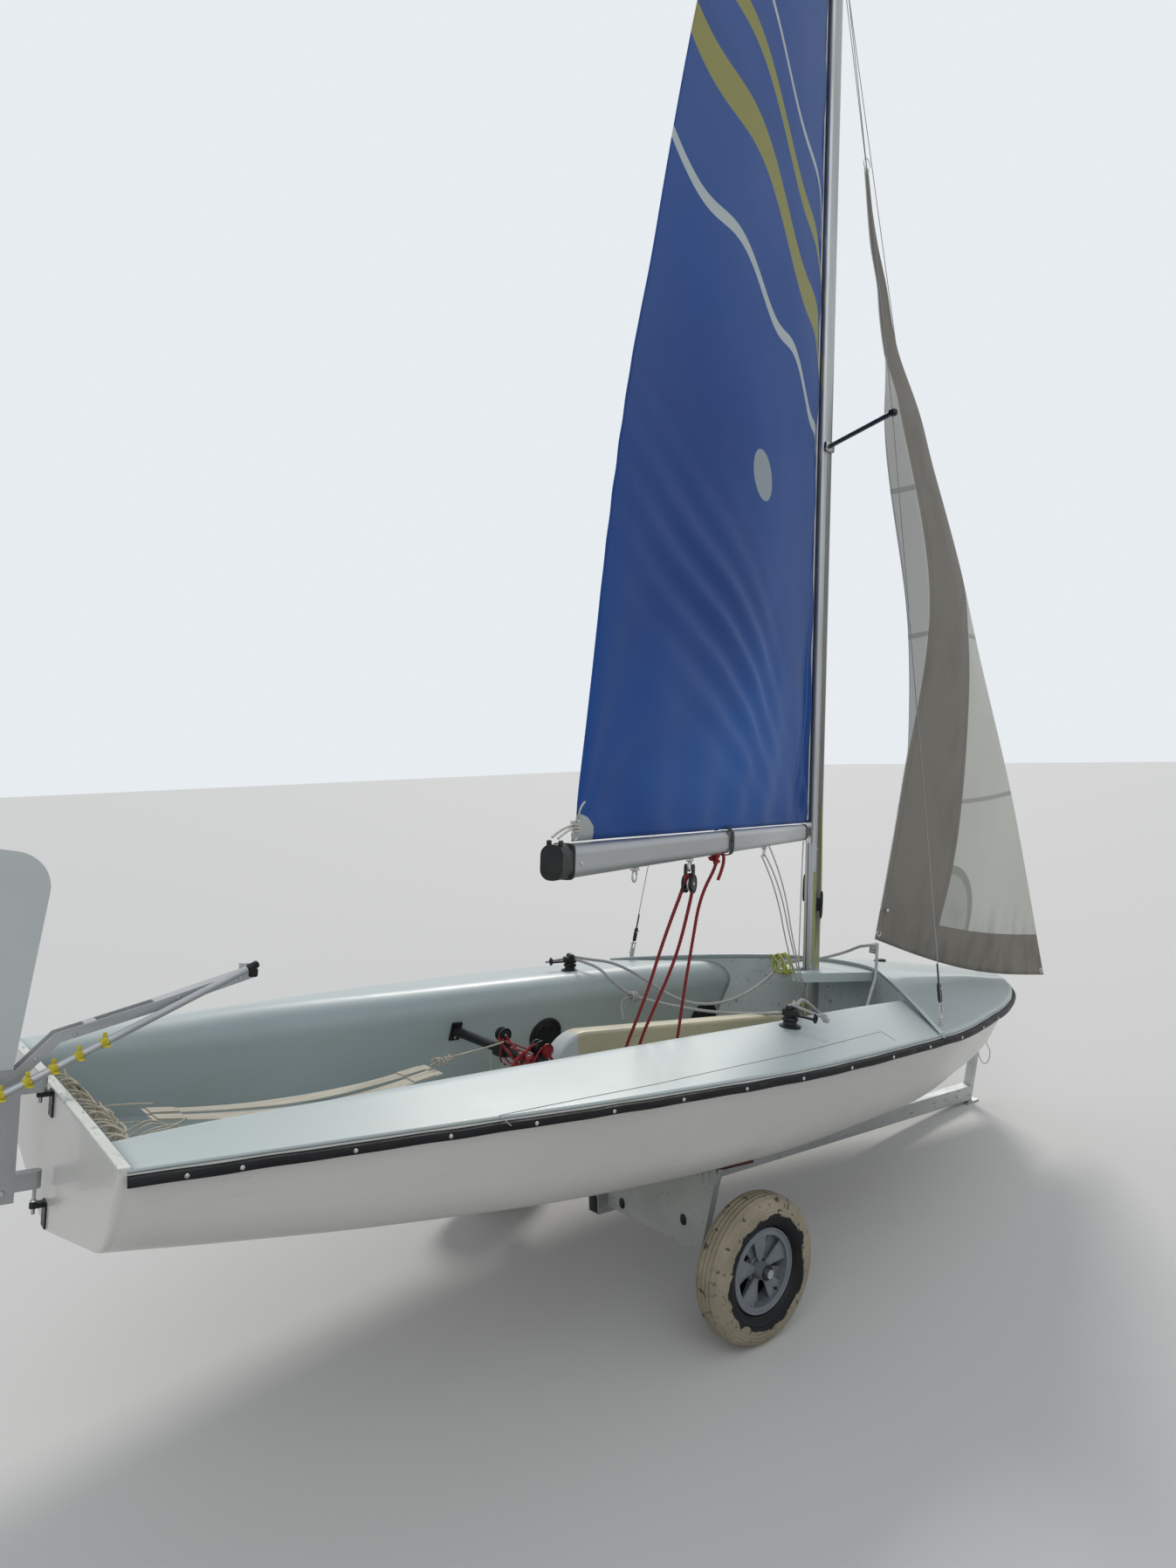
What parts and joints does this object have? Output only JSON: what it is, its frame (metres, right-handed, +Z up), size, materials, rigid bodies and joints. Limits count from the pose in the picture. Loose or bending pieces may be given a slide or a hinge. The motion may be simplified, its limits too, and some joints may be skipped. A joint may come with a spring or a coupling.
{
  "type": "sailing dinghy on a launching trolley",
  "caption": "Rigged two-handed sailing dinghy with mainsail and jib set, lifting rudder and tiller, resting bow-down on a two-wheeled launching trolley with a bow post.",
  "frame": {"origin": "on the ground, under the middle of the bow post's foot", "axes": "+X to the bow, +Y to port, +Z up, with the trolley level and the boat 5.9 degrees bow-down on it"},
  "size_m": [4.608, 2.0023, 6.4572],
  "materials": {
    "hull_gelcoat": "worn white gelcoat",
    "deck_gelcoat": "pale blue-grey gelcoat",
    "case_gelcoat": "cream gelcoat",
    "black_rubber": "extruded rubber",
    "cap_plastic": "white strip",
    "silver_anodised": "satin anodised",
    "dull_aluminium": "weathered",
    "stainless": "stainless",
    "black_plastic": "moulded",
    "black_tube": "black anodised tube",
    "blue_cloth": "polyester sailcloth",
    "pale_cloth": "polyester sailcloth",
    "webbing": "webbing",
    "blade_gelcoat": "white gelcoat",
    "board_plastic": "pale board",
    "red_carpet": "carpet",
    "rim_plastic": "grey moulded",
    "tyre_rubber": "black rubber under worn pale paint"
  },
  "bodies": {
    "boat": {"hull_shell": "hull_gelcoat", "transom": "hull_gelcoat", "transom_cap": "cap_plastic", "side_tank_port": "deck_gelcoat", "side_tank_starboard": "deck_gelcoat", "foredeck": "deck_gelcoat", "bulkhead": "deck_gelcoat", "mast_partner": "deck_gelcoat", "centreboard_case": "case_gelcoat", "rub_rail_port": "black_rubber", "rub_rail_starboard": "black_rubber", "mast_step": "silver_anodised", "mast": "silver_anodised", "spreaders": "silver_anodised", "shrouds": "stainless", "forestay": "stainless", "chainplates": "stainless", "stem_fitting": "stainless", "gooseneck": "stainless", "jib": "pale_cloth", "jib_cleats": "black_plastic", "hatch_covers": "black_plastic", "traveller_tube": "black_tube", "traveller_block": "black_plastic", "toe_straps": "webbing", "gudgeons": "stainless", "trolley_spine": "dull_aluminium", "bow_post": "dull_aluminium", "cradle_board": "board_plastic", "cradle_pads": "red_carpet", "axle": "stainless"},
    "boom": {"boom": "silver_anodised", "boom_caps": "black_plastic", "boom_tongue": "stainless", "mainsail": "blue_cloth", "boom_block": "black_plastic"},
    "rudder": {"rudder_stock": "dull_aluminium", "tiller": "silver_anodised", "tiller_extension": "silver_anodised"},
    "blade": {"rudder_blade": "blade_gelcoat"},
    "wheel_port": {"rim_port": "rim_plastic", "tyre_port": "tyre_rubber"},
    "wheel_starboard": {"rim_starboard": "rim_plastic", "tyre_starboard": "tyre_rubber"}
  },
  "joints": [
    {"name": "boom_swing", "type": "hinge", "parent": "boat", "child": "boom", "pos_m": [-1.12803, 0, 1.36125], "axis": [0.0706, 0, 0.9975], "range_deg": [-98.3, 41.7]},
    {"name": "rudder_turn", "type": "hinge", "parent": "boat", "child": "rudder", "pos_m": [-3.87532, 0, 0.96007], "axis": [0.1028, 0, 0.9947], "range_deg": [-40, 40]},
    {"name": "blade_lift", "type": "hinge", "parent": "rudder", "child": "blade", "pos_m": [-4.093, 0, 0.79929], "axis": [0, -1, 0], "range_deg": [0, 187.2]},
    {"name": "wheel_port_spin", "type": "hinge", "parent": "boat", "child": "wheel_port", "pos_m": [-2.181, 0.645, 0.21], "axis": [0, 1, 0], "continuous": true},
    {"name": "wheel_starboard_spin", "type": "hinge", "parent": "boat", "child": "wheel_starboard", "pos_m": [-2.181, -0.645, 0.21], "axis": [0, 1, 0], "continuous": true}
  ]
}
